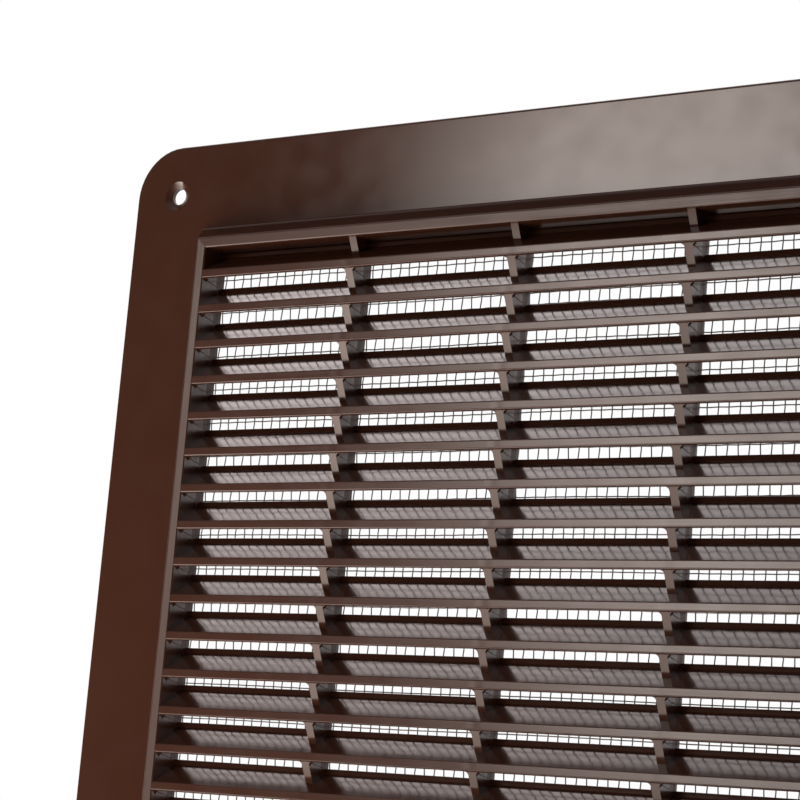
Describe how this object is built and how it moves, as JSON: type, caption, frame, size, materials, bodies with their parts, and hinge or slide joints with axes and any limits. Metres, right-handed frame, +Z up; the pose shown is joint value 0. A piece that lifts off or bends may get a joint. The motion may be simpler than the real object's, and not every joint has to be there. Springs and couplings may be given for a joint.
{
  "type": "ventilation grille",
  "caption": "Square wall vent grille: flat screw-on flange, raised bevelled rim, fixed sloping louvres between upright dividers, insect mesh behind.",
  "frame": {"origin": "middle of the flange's back face, which lies on the wall", "axes": "+X to the right seen from the front, +Y into the wall (the front faces -Y), +Z up"},
  "size_m": [0.25, 0.01, 0.25],
  "materials": {
    "brown_abs": "dark brown moulded plastic, satin gloss",
    "mesh_fibre": "grey plastic-coated woven strands"
  },
  "bodies": {
    "root": {"face_frame": "brown_abs", "louvre_blade_01": "brown_abs", "louvre_blade_02": "brown_abs", "louvre_blade_03": "brown_abs", "louvre_blade_04": "brown_abs", "louvre_blade_05": "brown_abs", "louvre_blade_06": "brown_abs", "louvre_blade_07": "brown_abs", "louvre_blade_08": "brown_abs", "louvre_blade_09": "brown_abs", "louvre_blade_10": "brown_abs", "louvre_blade_11": "brown_abs", "louvre_blade_12": "brown_abs", "louvre_blade_13": "brown_abs", "louvre_blade_14": "brown_abs", "louvre_blade_15": "brown_abs", "louvre_blade_16": "brown_abs", "louvre_blade_17": "brown_abs", "louvre_blade_18": "brown_abs", "louvre_blade_19": "brown_abs", "louvre_blade_20": "brown_abs", "divider_rib_1": "brown_abs", "divider_rib_2": "brown_abs", "divider_rib_3": "brown_abs", "mesh_warp_strands": "mesh_fibre", "mesh_weft_strands": "mesh_fibre"}
  },
  "joints": []
}
